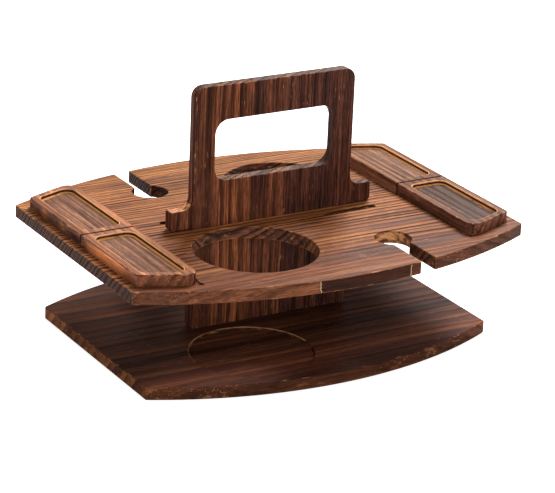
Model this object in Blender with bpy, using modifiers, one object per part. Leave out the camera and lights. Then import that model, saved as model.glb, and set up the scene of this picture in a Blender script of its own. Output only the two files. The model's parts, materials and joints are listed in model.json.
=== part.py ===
"""Two-tier wooden stand with a carrying handle and four lift-out trays.

A bow-sided top board and base board are joined by one upright plate. The plate
passes through a slot in the top board, sits on it by two ears, stands on the
base board, and ends above in a hand grip. Wood screws hold it from below. The
top board has two round holes over shallow seats in the base board, two keyhole
notches, two short grooves, and at each end a pocket for a pair of loose trays.

Units are metres. +X runs along the boards, +Y across them, +Z up. The origin is
at the centre of the base board's underside. The stand looks the same after half
a turn about Z.
"""

import math

import bmesh
import bpy
from mathutils import Vector

# ---------------------------------------------------------------- driving sizes
STOCK = 0.010                    # planed thickness of the boards and the trays
GAP = 0.0003                     # clearance between faces that touch
ARC_STEPS = 24                   # straight runs in one bowed board side

TOP_HALF_LENGTH = 0.169
TOP_HALF_END = 0.098             # half width of the top board at its two ends
TOP_BOW = 0.039                  # how far the bowed side swells at the middle
TOP_UNDERSIDE = 0.083            # height of the top board above the floor

BASE_HALF_LENGTH = 0.1495
BASE_HALF_END = 0.085
BASE_BOW = 0.0355

HOLE_CENTRE = Vector((-0.0465, -0.060))
HOLE_RADIUS = 0.0475
SEAT_DEPTH = 0.0022              # round seats in the base board, under the holes
HOLE_SIDES = 72

NOTCH_CENTRE = Vector((0.060, -0.083))
NOTCH_RADIUS = 0.01425
NOTCH_CHANNEL = 0.0138           # width of the way in from the board's edge
NOTCH_SIDES = 40

GROOVE_CENTRE = Vector((0.0615, -0.0168))
GROOVE_LENGTH = 0.0495
GROOVE_WIDTH = 0.0054
GROOVE_DEPTH = 0.0035
GROOVE_CORNER = 0.00265          # just under half the width, so each end keeps a short flat
GROOVE_CORNER_STEPS = 4

PLATE_THICKNESS = 0.0095
PLATE_HALF_WIDTH = 0.0695
EAR_HALF_SPAN = 0.0885
EAR_HEIGHT = 0.0155
PLATE_TOP = 0.204
GRIP_HALF_WIDTH = 0.052
GRIP_BOTTOM = 0.1285
GRIP_TOP = 0.1765
GRIP_CORNER = 0.011
SHOULDER_CORNER = 0.0085
FOOT_CORNER = 0.0035
EAR_CORNER = 0.0025
ARMPIT_CORNER = 0.0005           # tool radius left where an ear meets the plate's side

TRAY_INNER = 0.117               # distance of a tray's inner side from the middle
TRAY_OUTER = 0.1613
TRAY_END_INSET = 0.0130          # the tray's end copies the board's bow, set back this far
TRAY_INNER_CORNER = 0.0085
TRAY_OUTER_CORNER = 0.002
TRAY_RIM = 0.0062
TRAY_SEAM_RIM = 0.0076
TRAY_RECESS = 0.0032
TRAY_RECESS_CORNER = 0.007
POCKET_DEPTH = 0.002
POCKET_SLACK = 0.0015            # finger slack along the pocket's inner side

SCREW_HEAD_RADIUS = 0.0035
SCREW_SHANK_RADIUS = 0.00175
SCREW_HEAD_HEIGHT = 0.0025
SCREW_RIM = 0.0004               # straight rim of the head, above its cone
SCREW_POINT = 0.0035             # length of the tapered tip
SCREW_TIP_RADIUS = 0.0005        # the tip is blunt
SCREW_SINK = 0.0003              # the heads sit just below the wood
SCREW_SIDES = 20
EAR_SCREW_LENGTH = 0.018
BASE_SCREW_LENGTH = 0.030
BASE_SCREW_SPACING = 0.045
DRIVE_WIDTH = 0.00245            # square driver socket
DRIVE_DEPTH = 0.00175

EASE = 0.0006                    # sanded arris on the outer edges
SHARP_ANGLE = math.radians(35)
WELD = 1e-6                      # points closer than this are one point

# ------------------------------------------------------------- worked-out sizes
TOP_FACE = TOP_UNDERSIDE + STOCK
EAR_CENTRE = (PLATE_HALF_WIDTH + EAR_HALF_SPAN) / 2
POCKET_FLOOR = TOP_FACE - POCKET_DEPTH
TRAY_FLOOR = POCKET_FLOOR + GAP
TOP_RADIUS = (TOP_HALF_LENGTH ** 2 + TOP_BOW ** 2) / (2 * TOP_BOW)
TOP_ARC_CENTRE = TOP_HALF_END + TOP_BOW - TOP_RADIUS


# ------------------------------------------------------------------ foundations
def clear_scene():
    """Remove every object, mesh and curve that the file opened with."""
    for obj in list(bpy.data.objects):
        bpy.data.objects.remove(obj, do_unlink=True)


def make_collection(name):
    """Link a new collection to the scene."""
    collection = bpy.data.collections.new(name)
    bpy.context.scene.collection.children.link(collection)
    return collection


def make_material(name, colour, roughness, metallic=0.0):
    """One Principled material."""
    material = bpy.data.materials.new(name)
    material.use_nodes = True
    shader = material.node_tree.nodes["Principled BSDF"]
    shader.inputs["Base Color"].default_value = (*colour, 1.0)
    shader.inputs["Roughness"].default_value = roughness
    shader.inputs["Metallic"].default_value = metallic
    return material


def rounded(corners, steps=6):
    """Round each (x, y, radius) corner of a straight-sided outline with an arc."""
    points = []
    for index, (x, y, radius) in enumerate(corners):
        corner = Vector((x, y))
        before = Vector(corners[index - 1][:2]) - corner
        after = Vector(corners[(index + 1) % len(corners)][:2]) - corner
        if radius <= 0.0:
            points.append(corner)
            continue
        half_angle = before.angle(after) / 2
        bisector = (before.normalized() + after.normalized()).normalized()
        centre = corner + bisector * (radius / math.sin(half_angle))
        run = radius / math.tan(half_angle)
        start = corner + before.normalized() * run - centre
        sweep = start.angle_signed(corner + after.normalized() * run - centre)
        for step in range(steps + 1):
            turn = -sweep * step / steps
            cos, sin = math.cos(turn), math.sin(turn)
            points.append(centre + Vector((start.x * cos - start.y * sin, start.x * sin + start.y * cos)))
    return points


def bowed(half_length, half_end, bow):
    """Board outline: two straight ends and two sides bowed to one radius."""
    radius = (half_length ** 2 + bow ** 2) / (2 * bow)
    centre = half_end + bow - radius
    limit = math.asin(half_length / radius)
    angles = [limit - 2 * limit * step / ARC_STEPS for step in range(ARC_STEPS + 1)]
    rear = [Vector((radius * math.sin(a), centre + radius * math.cos(a))) for a in angles]
    return rear + [-point for point in rear]


def tray_end(x, inset):
    """How far from the middle a tray's bowed end is, at a distance x along the board."""
    return TOP_ARC_CENTRE + math.sqrt(TOP_RADIUS ** 2 - x ** 2) - inset


def tray_outline(inset, seam, inner_corner, outer_corner, slack=0.0):
    """Outline of the tray at +X, +Y, drawn in by inset, with its seam side at y = seam."""
    inner = TRAY_INNER + inset - slack
    outer = TRAY_OUTER - inset
    arc = TRAY_END_INSET + inset
    first, second = inner + (outer - inner) / 3, outer - (outer - inner) / 3
    return rounded([
        (inner, seam, 0.0 if seam < TRAY_RIM else inner_corner),
        (outer, seam, 0.0 if seam < TRAY_RIM else inner_corner),
        (outer, tray_end(outer, arc), outer_corner),
        (second, tray_end(second, arc), 0.0),
        (first, tray_end(first, arc), 0.0),
        (inner, tray_end(inner, arc), inner_corner),
    ])


def prism(name, outline, bottom, top, collection, upright=False):
    """Closed solid between two levels of a flat outline (levels of Y if upright)."""
    curve = bpy.data.curves.new(name, "CURVE")
    curve.dimensions = "2D"
    curve.fill_mode = "BOTH"
    curve.extrude = (top - bottom) / 2
    spline = curve.splines.new("POLY")
    spline.points.add(len(outline) - 1)
    for point, (x, y) in zip(spline.points, outline):
        point.co = (x, y, 0.0, 1.0)
    spline.use_cyclic_u = True
    guide = bpy.data.objects.new(name + "_outline", curve)
    middle = (bottom + top) / 2
    if upright:
        guide.location = (0.0, middle, 0.0)
        guide.rotation_euler = (math.pi / 2, 0.0, 0.0)
    else:
        guide.location = (0.0, 0.0, middle)
    bpy.context.scene.collection.objects.link(guide)
    bpy.context.view_layer.update()
    evaluated = guide.evaluated_get(bpy.context.evaluated_depsgraph_get())
    mesh = bpy.data.meshes.new_from_object(evaluated)
    mesh.name = name
    body = bmesh.new()
    body.from_mesh(mesh)
    bmesh.ops.remove_doubles(body, verts=body.verts, dist=WELD)
    bmesh.ops.recalc_face_normals(body, faces=body.faces)
    for side in (-1, 1):
        cap = [face for face in body.faces if all(vert.co.z * side > 0 for vert in face.verts)]
        bmesh.ops.dissolve_faces(body, faces=cap)
    body.to_mesh(mesh)
    body.free()
    mesh.transform(guide.matrix_world)
    bpy.data.objects.remove(guide, do_unlink=True)
    solid = bpy.data.objects.new(name, mesh)
    collection.objects.link(solid)
    return solid


def cylinder(name, centre, radius, bottom, top, collection, sides):
    """Upright cylinder."""
    bpy.ops.mesh.primitive_cylinder_add(
        vertices=sides, radius=radius, depth=top - bottom,
        location=(centre[0], centre[1], (bottom + top) / 2))
    solid = bpy.context.object
    solid.name = name
    solid.data.name = name
    for owner in list(solid.users_collection):
        owner.objects.unlink(solid)
    collection.objects.link(solid)
    return solid


def as_cutter(solid):
    """Hide a cutter from renders and draw it as a wire."""
    solid.hide_render = True
    solid.display_type = "WIRE"
    return solid


def cut(solid, cutters):
    """Subtract each cutter in turn."""
    for cutter in cutters:
        step = solid.modifiers.new(cutter.name, "BOOLEAN")
        step.operation = "DIFFERENCE"
        step.solver = "EXACT"
        step.object = as_cutter(cutter)


def ease_edges(solid, across=2):
    """Take the sharpness off both rims of an uncut prism (across = its short axis)."""
    weights = solid.data.attributes.new("bevel_weight_edge", "FLOAT", "EDGE")
    for edge, weight in zip(solid.data.edges, weights.data):
        first, second = (solid.data.vertices[i].co[across] for i in edge.vertices)
        weight.value = 1.0 if abs(first - second) < GAP else 0.0
    bevel = solid.modifiers.new("Eased edges", "BEVEL")
    bevel.width = EASE
    bevel.segments = 1
    bevel.limit_method = "WEIGHT"
    bevel.use_clamp_overlap = False


def dress(solid, material):
    """Give a solid its material and smooth its round faces."""
    solid.data.materials.clear()
    solid.data.materials.append(material)
    solid.data.shade_smooth()
    solid.data.set_sharp_from_angle(angle=SHARP_ANGLE)


# ----------------------------------------------------------------------- pieces
def screw_profile(length, radius_gain=0.0):
    """Half outline of a countersunk wood screw, from its tip down to its head."""
    shank = SCREW_SHANK_RADIUS + radius_gain
    head = SCREW_HEAD_RADIUS + radius_gain
    return [
        (0.0, length + radius_gain),
        (SCREW_TIP_RADIUS, length + radius_gain),
        (shank, length - SCREW_POINT),
        (shank, SCREW_HEAD_HEIGHT),
        (head, SCREW_RIM),
        (head, -radius_gain),
        (0.0, -radius_gain),
    ]


def turned(name, profile, location, collection):
    """Solid of revolution about +Z from a half outline that runs top to bottom."""
    mesh = bpy.data.meshes.new(name)
    points = [(radius, 0.0, height) for radius, height in profile]
    mesh.from_pydata(points, [(i, i + 1) for i in range(len(points) - 1)], [])
    solid = bpy.data.objects.new(name, mesh)
    solid.location = location
    collection.objects.link(solid)
    lathe = solid.modifiers.new("Turn", "SCREW")
    lathe.steps = SCREW_SIDES
    lathe.render_steps = SCREW_SIDES
    lathe.use_merge_vertices = True
    lathe.merge_threshold = WELD
    return solid


def screw_hole(name, length, location, cutters):
    """Clearance hole for a screw, open through the face that its head is in."""
    profile = screw_profile(length, GAP)
    open_end = [(radius, height - SCREW_SINK * 2 if height < 0 else height) for radius, height in profile]
    return turned(name, open_end, location, cutters)


def drive_recess(name, location, cutters):
    """Square driver socket in a screw's head."""
    x, y, level = location
    half = DRIVE_WIDTH / 2
    outline = [(x - half, y - half), (x + half, y - half), (x + half, y + half), (x - half, y + half)]
    return prism(name, outline, level - DRIVE_DEPTH, level + DRIVE_DEPTH, cutters)


def build_screws(parts, cutters, material):
    """Two screws up into the ears and three up into the plate's foot."""
    ear_level = TOP_UNDERSIDE + SCREW_SINK
    places = [
        ("ear_screw_left", (-EAR_CENTRE, 0.0, ear_level), EAR_SCREW_LENGTH),
        ("ear_screw_right", (EAR_CENTRE, 0.0, ear_level), EAR_SCREW_LENGTH),
    ]
    for side, label in ((-1, "left"), (0, "middle"), (1, "right")):
        centre = (side * BASE_SCREW_SPACING, 0.0, SCREW_SINK)
        places.append(("base_screw_" + label, centre, BASE_SCREW_LENGTH))
    for name, place, length in places:
        screw = turned(name, screw_profile(length), place, parts)
        cut(screw, [drive_recess(name + "_drive", place, cutters)])
        dress(screw, material)
    return places


def both_ends(centre):
    """A place and its twin half a turn round."""
    return ((1, centre), (-1, -centre))


def build_top_board(parts, cutters, material, screws):
    """Bow-sided upper board with its holes, notches, grooves, slot and pockets."""
    outline = bowed(TOP_HALF_LENGTH, TOP_HALF_END, TOP_BOW)
    board = prism("top_board", outline, TOP_UNDERSIDE, TOP_FACE, parts)
    ease_edges(board)
    below, above = TOP_UNDERSIDE - STOCK, TOP_FACE + STOCK
    tools = []
    slot_x, slot_y = PLATE_HALF_WIDTH + GAP, PLATE_THICKNESS / 2 + GAP
    slot = [(-slot_x, -slot_y), (slot_x, -slot_y), (slot_x, slot_y), (-slot_x, slot_y)]
    tools.append(prism("plate_slot", slot, below, above, cutters))
    for side, centre in both_ends(HOLE_CENTRE):
        tools.append(cylinder(f"round_hole_{side}", centre, HOLE_RADIUS, below, above, cutters, HOLE_SIDES))
    for side, centre in both_ends(NOTCH_CENTRE):
        eye = cylinder(f"notch_eye_{side}", centre, NOTCH_RADIUS, below, above, cutters, NOTCH_SIDES)
        tools.append(eye)
        half = NOTCH_CHANNEL / 2
        far = -side * (TOP_HALF_END + TOP_BOW + STOCK)
        way_in = [(centre.x - half, centre.y), (centre.x + half, centre.y), (centre.x + half, far),
                  (centre.x - half, far)]
        tools.append(prism(f"notch_channel_{side}", way_in, below, above, cutters))
    for side, centre in both_ends(GROOVE_CENTRE):
        half, reach = GROOVE_WIDTH / 2, GROOVE_LENGTH / 2
        outline = rounded([(centre.x + sx * reach, centre.y + sy * half, GROOVE_CORNER)
                           for sx, sy in ((-1, -1), (1, -1), (1, 1), (-1, 1))], GROOVE_CORNER_STEPS)
        tools.append(prism(f"groove_{side}", outline, TOP_FACE - GROOVE_DEPTH, above, cutters))
    for side in (-1, 1):
        half_pocket = tray_outline(-GAP, 0.0, 0.0, 0.0, POCKET_SLACK)[2:]
        pocket = half_pocket + [Vector((x, -y)) for x, y in reversed(half_pocket)]
        outline = [Vector((side * x, y)) for x, y in pocket]
        tools.append(prism(f"tray_pocket_{side}", outline, POCKET_FLOOR, above, cutters))
    for name, place, length in screws[:2]:
        tools.append(screw_hole(name + "_board_hole", length, place, cutters))
    cut(board, tools)
    dress(board, material)


def build_base_board(parts, cutters, material, screws):
    """Bow-sided lower board with a shallow round seat under each hole."""
    board = prism("base_board", bowed(BASE_HALF_LENGTH, BASE_HALF_END, BASE_BOW), 0.0, STOCK, parts)
    ease_edges(board)
    tools = []
    for side, centre in both_ends(HOLE_CENTRE):
        floor, above = STOCK - SEAT_DEPTH, 2 * STOCK
        seat = cylinder(f"round_seat_{side}", centre, HOLE_RADIUS, floor, above, cutters, HOLE_SIDES)
        tools.append(seat)
    for name, place, length in screws[2:]:
        tools.append(screw_hole(name + "_board_hole", length, place, cutters))
    cut(board, tools)
    dress(board, material)


def build_handle_plate(parts, cutters, material, screws):
    """Upright plate: foot on the base board, ears on the top board, grip above."""
    foot = STOCK + GAP
    ear_bottom = TOP_FACE + GAP
    ear_top = TOP_FACE + EAR_HEIGHT
    right = [
        (PLATE_HALF_WIDTH, foot, FOOT_CORNER),
        (PLATE_HALF_WIDTH, ear_bottom, ARMPIT_CORNER),
        (EAR_HALF_SPAN, ear_bottom, EAR_CORNER),
        (EAR_HALF_SPAN, ear_top, 0.0),
        (PLATE_HALF_WIDTH, ear_top, SHOULDER_CORNER),
        (PLATE_HALF_WIDTH, PLATE_TOP, SHOULDER_CORNER),
    ]
    left = [(-x, z, radius) for x, z, radius in reversed(right)]
    half = PLATE_THICKNESS / 2
    plate = prism("handle_plate", rounded(right + left), -half, half, parts, upright=True)
    ease_edges(plate, across=1)
    grip = rounded([
        (-GRIP_HALF_WIDTH, GRIP_BOTTOM, GRIP_CORNER),
        (GRIP_HALF_WIDTH, GRIP_BOTTOM, GRIP_CORNER),
        (GRIP_HALF_WIDTH, GRIP_TOP, GRIP_CORNER),
        (-GRIP_HALF_WIDTH, GRIP_TOP, GRIP_CORNER),
    ])
    tools = [prism("grip_opening", grip, -STOCK, STOCK, cutters, upright=True)]
    for name, place, length in screws:
        tools.append(screw_hole(name + "_plate_hole", length, place, cutters))
    cut(plate, tools)
    dress(plate, material)


def build_trays(parts, cutters, material):
    """Four loose trays, each with its origin on the line that it lifts along."""
    centre = Vector(((TRAY_INNER + TRAY_OUTER) / 2, tray_end(TRAY_INNER, TRAY_END_INSET) / 2))
    body = tray_outline(0.0, GAP / 2, TRAY_INNER_CORNER, TRAY_OUTER_CORNER)
    recess = tray_outline(TRAY_RIM, TRAY_SEAM_RIM, TRAY_RECESS_CORNER, TRAY_RECESS_CORNER)
    for side_x, column in ((-1, "left"), (1, "right")):
        for side_y, row in ((-1, "front"), (1, "rear")):
            name = f"tray_{column}_{row}"
            place = Vector((side_x * centre.x, side_y * centre.y, TRAY_FLOOR))
            outline = [(side_x * (x - centre.x), side_y * (y - centre.y)) for x, y in body]
            hollow = [(side_x * (x - centre.x), side_y * (y - centre.y)) for x, y in recess]
            tray = prism(name, outline, 0.0, STOCK, parts)
            ease_edges(tray)
            tool = prism(name + "_recess", hollow, STOCK - TRAY_RECESS, 2 * STOCK, cutters)
            cut(tray, [tool])
            tray.location = place
            tool.location = place
            dress(tray, material)


def main():
    """Build every piece of the stand."""
    clear_scene()
    parts = make_collection("razor_stand")
    cutters = make_collection("cutters")
    board_wood = make_material("Brushed dark walnut board", (0.30, 0.13, 0.065), 0.55)
    base_wood = make_material("Brushed dark walnut base", (0.13, 0.055, 0.030), 0.55)
    plate_wood = make_material("Brushed dark walnut upright", (0.16, 0.065, 0.035), 0.55)
    tray_wood = make_material("Brushed dark walnut tray", (0.27, 0.13, 0.075), 0.5)
    zinc = make_material("Zinc plated screw", (0.62, 0.60, 0.55), 0.35, 1.0)
    screws = build_screws(parts, cutters, zinc)
    build_top_board(parts, cutters, board_wood, screws)
    build_base_board(parts, cutters, base_wood, screws)
    build_handle_plate(parts, cutters, plate_wood, screws)
    build_trays(parts, cutters, tray_wood)


main()
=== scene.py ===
"""Looks of the wooden razor and grooming stand.

Every board, plate and tray is modelled again with eased arrises, coved recesses
and a wire-brushed surface, and is finished in stained wood whose grain, brushing
and rubbed edges all come from one shared grain field. Some walls, lips, coves and
rims also carry painted highlight and painted shade in their colour. Units are metres.
"""

from __future__ import annotations

import json
import logging
import math
from collections.abc import Callable, Iterator
from contextlib import contextmanager
from dataclasses import dataclass, field
from enum import Enum, IntEnum
from functools import cache

import bmesh
import bpy
from mathutils import Matrix, Vector

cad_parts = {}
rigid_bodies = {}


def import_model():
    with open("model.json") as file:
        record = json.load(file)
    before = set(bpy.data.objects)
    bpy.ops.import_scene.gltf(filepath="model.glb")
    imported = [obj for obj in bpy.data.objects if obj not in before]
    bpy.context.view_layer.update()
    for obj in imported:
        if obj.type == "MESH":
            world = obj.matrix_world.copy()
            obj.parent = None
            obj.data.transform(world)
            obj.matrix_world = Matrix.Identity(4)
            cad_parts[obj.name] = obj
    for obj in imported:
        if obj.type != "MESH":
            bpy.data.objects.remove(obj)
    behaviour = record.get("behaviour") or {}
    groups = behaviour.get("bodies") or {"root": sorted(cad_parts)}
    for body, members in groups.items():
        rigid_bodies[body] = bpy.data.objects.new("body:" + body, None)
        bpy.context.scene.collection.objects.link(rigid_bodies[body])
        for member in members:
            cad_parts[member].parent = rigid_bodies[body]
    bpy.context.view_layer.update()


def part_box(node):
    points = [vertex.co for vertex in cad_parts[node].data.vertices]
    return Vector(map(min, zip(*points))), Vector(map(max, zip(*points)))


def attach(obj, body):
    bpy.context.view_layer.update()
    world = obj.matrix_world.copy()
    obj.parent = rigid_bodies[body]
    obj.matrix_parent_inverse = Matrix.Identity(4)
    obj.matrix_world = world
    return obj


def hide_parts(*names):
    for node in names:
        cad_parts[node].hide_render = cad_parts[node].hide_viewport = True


LOG = logging.getLogger("razor_stand")
TINY = 1e-5
REACH = 0.01  # how far a cutter runs past the wood
SPARE = 0.001  # how far one cutter runs past another
MERGE = 0.00015
FINE_MERGE = 0.00005
FLAT_TURN = math.radians(1.0)
ARRIS_TURN = math.radians(40)
SMOOTH_TURN = math.radians(28)
EdgeTest = Callable[[Vector, Vector], bool]


# ------------------------------------------------------------------ workbench
class Bench:
    """Hand tools: every cut and edge is made with these."""

    @staticmethod
    def clear_selection() -> None:
        """Deselect every object."""
        for obj in list(bpy.context.view_layer.objects):
            if obj:
                obj.select_set(False)

    @classmethod
    def pick(cls, obj: bpy.types.Object) -> bpy.types.Object:
        """Make one object the only selected and active one."""
        cls.clear_selection()
        obj.select_set(True)
        bpy.context.view_layer.objects.active = obj
        return obj

    @classmethod
    @contextmanager
    def editing(cls, obj: bpy.types.Object) -> Iterator[None]:
        """Open one object's mesh with all of it selected, and close it afterwards."""
        cls.pick(obj)
        bpy.ops.object.mode_set(mode="EDIT")
        bpy.ops.mesh.select_all(action="SELECT")
        yield
        bpy.ops.object.mode_set(mode="OBJECT")

    @classmethod
    def apply(cls, obj: bpy.types.Object, kind: str, **settings) -> None:
        """Give an object one modifier with some settings, and apply it."""
        cls.pick(obj)
        step = obj.modifiers.new(kind, kind)
        for name, value in settings.items():
            setattr(step, name, value)
        bpy.ops.object.modifier_apply(modifier=step.name)

    @classmethod
    def settle(cls, obj: bpy.types.Object) -> bpy.types.Object:
        """Move an object's place, turn and scale into its mesh."""
        cls.pick(obj)
        bpy.ops.object.transform_apply(location=True, rotation=True, scale=True)
        return obj

    @classmethod
    def block(cls, name: str, low: Vector, high: Vector) -> bpy.types.Object:
        """Add a box between two corners.

        Args:
            name: Name of the new object.
            low: Lowest corner.
            high: Highest corner.

        Returns:
            The new object, with its place in its mesh.
        """
        cls.clear_selection()
        bpy.ops.mesh.primitive_cube_add(size=1.0, location=(Vector(low) + Vector(high)) / 2)
        obj = bpy.context.object
        obj.name = obj.data.name = name
        obj.scale = Vector(high) - Vector(low)
        return cls.settle(obj)

    @classmethod
    def drum(cls, name: str, centre: tuple, radius: float, bottom: float, top: float,
             sides: int = 96) -> bpy.types.Object:
        """Add an upright cylinder.

        Args:
            name: Name of the new object.
            centre: X and Y of its axis.
            radius: Its radius.
            bottom: Height of its lower face.
            top: Height of its upper face.
            sides: Number of flat sides.

        Returns:
            The new object, with its place in its mesh.
        """
        cls.clear_selection()
        bpy.ops.mesh.primitive_cylinder_add(
            vertices=sides, radius=radius, depth=top - bottom,
            location=(centre[0], centre[1], (bottom + top) / 2))
        obj = bpy.context.object
        obj.name = obj.data.name = name
        return cls.settle(obj)

    @classmethod
    def lathe(cls, name: str, centre: tuple, profile: tuple, sides: int = 32) -> bpy.types.Object:
        """Draw a disc out into a turned solid, one length at a time.

        Args:
            name: Name of the new object.
            centre: X and Y of its axis.
            profile: Radius and height of every step, from the bottom.
            sides: Number of flat sides.

        Returns:
            The new object, with its place in its mesh.
        """
        cls.clear_selection()
        radius, level = profile[0]
        bpy.ops.mesh.primitive_circle_add(vertices=sides, radius=radius, fill_type="NGON",
                                          location=(*centre, level))
        obj = bpy.context.object
        obj.name = obj.data.name = name
        cls.settle(obj)
        with cls.editing(obj):
            for next_radius, next_level in profile[1:]:
                bpy.ops.mesh.extrude_region_move(
                    TRANSFORM_OT_translate={"value": (0.0, 0.0, next_level - level)})
                share = next_radius / radius
                bpy.ops.transform.resize(value=(share, share, 1.0), center_override=(*centre, next_level))
                radius, level = next_radius, next_level
            bpy.ops.mesh.select_all(action="SELECT")
            bpy.ops.mesh.normals_make_consistent(inside=False)
        return obj

    @classmethod
    def combine(cls, obj: bpy.types.Object, tool: bpy.types.Object,
                how: str = "DIFFERENCE") -> bpy.types.Object:
        """Cut, join or trim one solid with another, and use the other up.

        Args:
            obj: Solid that is worked on.
            tool: Solid that cuts it.
            how: DIFFERENCE, UNION or INTERSECT.

        Returns:
            The worked solid.
        """
        cls.apply(obj, "BOOLEAN", operation=how, solver="MANIFOLD", object=tool)
        bpy.data.objects.remove(tool, do_unlink=True)
        return obj

    @classmethod
    def route_corner(cls, obj: bpy.types.Object, centre: tuple, radius: float, low: tuple,
                     high: tuple) -> None:
        """Round an upright corner the way a router bit does.

        Args:
            obj: Solid whose corner is rounded.
            centre: X and Y of the round's axis.
            radius: Radius of the round.
            low: Lowest corner of the block that the bit clears.
            high: Highest corner of that block.
        """
        waste = cls.block("waste", low, high)
        keep = cls.drum("keep", centre, radius, low[2] - SPARE, high[2] + SPARE)
        cls.combine(obj, cls.combine(waste, keep))

    @classmethod
    def weld(cls, obj: bpy.types.Object, distance: float) -> None:
        """Merge points that lie closer together than a distance."""
        with cls.editing(obj):
            bpy.ops.mesh.remove_doubles(threshold=distance)

    @classmethod
    def round_edges(cls, obj: bpy.types.Object, wanted: EdgeTest, radius: float, segments: int) -> None:
        """Round the edges that a test picks.

        Args:
            obj: Solid whose edges are rounded.
            wanted: Test that takes an edge's two end points.
            radius: Radius of the rounding.
            segments: Number of flats across it.
        """
        with cls.editing(obj):
            bpy.ops.mesh.select_mode(type="EDGE")
            bpy.ops.mesh.select_all(action="DESELECT")
            for edge in bmesh.from_edit_mesh(obj.data).edges:
                if wanted(*(vert.co for vert in edge.verts)):
                    edge.select_set(True)
            bmesh.update_edit_mesh(obj.data)
            bpy.ops.mesh.bevel(offset=radius, segments=segments, affect="EDGES", clamp_overlap=False)

    @classmethod
    def ease(cls, obj: bpy.types.Object, width: float, slot: int = 1, segments: int = 3,
             clamp: bool = False) -> None:
        """Sand every sharp arris, and give the sanded band its own finish.

        Flat faces are split into triangles first, so that none of them folds over.

        Args:
            obj: Solid whose arrises are eased.
            width: Width of the sanded band.
            slot: Material slot of the band.
            segments: Number of flats across the band.
            clamp: Whether the band narrows where the edges are short.
        """
        with cls.editing(obj):
            bpy.ops.mesh.select_mode(type="FACE")
            bpy.ops.mesh.quads_convert_to_tris(quad_method="BEAUTY", ngon_method="BEAUTY")
            bpy.ops.mesh.beautify_fill(angle_limit=FLAT_TURN)
        cls.apply(obj, "BEVEL", width=width, segments=segments, limit_method="ANGLE",
                  angle_limit=ARRIS_TURN, use_clamp_overlap=clamp, loop_slide=False, material=slot)

    @classmethod
    def smooth(cls, obj: bpy.types.Object) -> None:
        """Shade round stretches smooth and keep true corners sharp."""
        cls.pick(obj)
        bpy.ops.object.shade_smooth_by_angle(angle=SMOOTH_TURN)
        cls.apply(obj, "WEIGHTED_NORMAL", mode="FACE_AREA", weight=100, keep_sharp=True)


def upright_edge(first: Vector, second: Vector) -> bool:
    """Whether an edge runs along Z."""
    return (first.xy - second.xy).length < TINY and abs(first.z - second.z) > TINY


def level_edge(height: float) -> EdgeTest:
    """Test for the edges that lie at one height."""
    return lambda first, second: max(abs(first.z - height), abs(second.z - height)) < TINY


def through_edge(x: float, z: float, across: float) -> EdgeTest:
    """Test for the edges that run through a plate at one corner of its outline.

    Args:
        x: Distance of the corner from the plate's middle, on either side.
        z: Height of the corner.
        across: Thickness of the plate.

    Returns:
        Test that takes an edge's two end points.
    """
    return lambda first, second: (abs(abs(first.y - second.y) - across) < TINY
                                  and abs(abs(first.x) - x) < TINY and abs(first.z - z) < TINY)


# -------------------------------------------------------------------- the wood
class Grain(Enum):
    """Direction that a piece's grain runs in, as the turn that brings it to X."""

    ALONG_X = (0.0, 0.0, 0.0)
    ALONG_Y = (0.0, 0.0, -math.pi / 2)
    ALONG_Z = (0.0, math.pi / 2, 0.0)


class Tree:
    """Short spellings for adding and joining nodes."""

    def __init__(self, nodes: bpy.types.NodeTree) -> None:
        """Work on one node tree."""
        self.tree = nodes

    def add(self, kind: str, **settings) -> bpy.types.Node:
        """Add a node and set its properties."""
        node = self.tree.nodes.new(kind)
        for name, value in settings.items():
            setattr(node, name, value)
        return node

    def feed(self, target: bpy.types.NodeSocket, value) -> None:
        """Join a socket to another, or set it to a plain value."""
        if isinstance(value, bpy.types.NodeSocket):
            self.tree.links.new(value, target)
        elif isinstance(value, tuple) and target.type == "RGBA":
            target.default_value = (*value, 1.0)
        else:
            target.default_value = value

    def math(self, operation: str, first, second=0.0, third=0.0) -> bpy.types.NodeSocket:
        """Add one Math node and return what it gives."""
        node = self.add("ShaderNodeMath", operation=operation)
        for socket, value in zip(node.inputs, (first, second, third)):
            self.feed(socket, value)
        return node.outputs[0]

    def ramp(self, value, low: float, high: float, to_low: float = 0.0, to_high: float = 1.0,
             shape: str = "SMOOTHSTEP") -> bpy.types.NodeSocket:
        """Map a value from one range to another, clamped."""
        node = self.add("ShaderNodeMapRange", clamp=True, interpolation_type=shape)
        for name, given in zip(("Value", "From Min", "From Max", "To Min", "To Max"),
                               (value, low, high, to_low, to_high)):
            self.feed(node.inputs[name], given)
        return node.outputs["Result"]

    def blend(self, factor, first, second, how: str = "MIX") -> bpy.types.NodeSocket:
        """Mix two colours."""
        node = self.add("ShaderNodeMix", data_type="RGBA", blend_type=how, clamp_factor=True)
        self.feed(node.inputs["Factor"], factor)
        for name, value in (("A", first), ("B", second)):
            socket = next(s for s in node.inputs if s.name == name and s.type == "RGBA")
            self.feed(socket, value)
        return next(s for s in node.outputs if s.type == "RGBA")

    def noise(self, vector, detail: float, roughness: float = 0.5) -> bpy.types.NodeSocket:
        """Add a 3-D noise of unit scale and return its plain value."""
        node = self.add("ShaderNodeTexNoise", noise_dimensions="3D")
        for name, value in (("Vector", vector), ("Scale", 1.0), ("Detail", detail),
                            ("Roughness", roughness)):
            self.feed(node.inputs[name], value)
        return node.outputs["Fac"]

    def vector(self, x, y, z) -> bpy.types.NodeSocket:
        """Join three values into a vector."""
        node = self.add("ShaderNodeCombineXYZ")
        for socket, value in zip(node.inputs, (x, y, z)):
            self.feed(socket, value)
        return node.outputs[0]

    def stretched(self, split, scales: tuple, shift=0.0) -> bpy.types.NodeSocket:
        """A place scaled by axis and moved along its first axis."""
        x, y, z = split
        return self.vector(self.math("MULTIPLY_ADD", x, scales[0], shift),
                           self.math("MULTIPLY", y, scales[1]), self.math("MULTIPLY", z, scales[2]))


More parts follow.
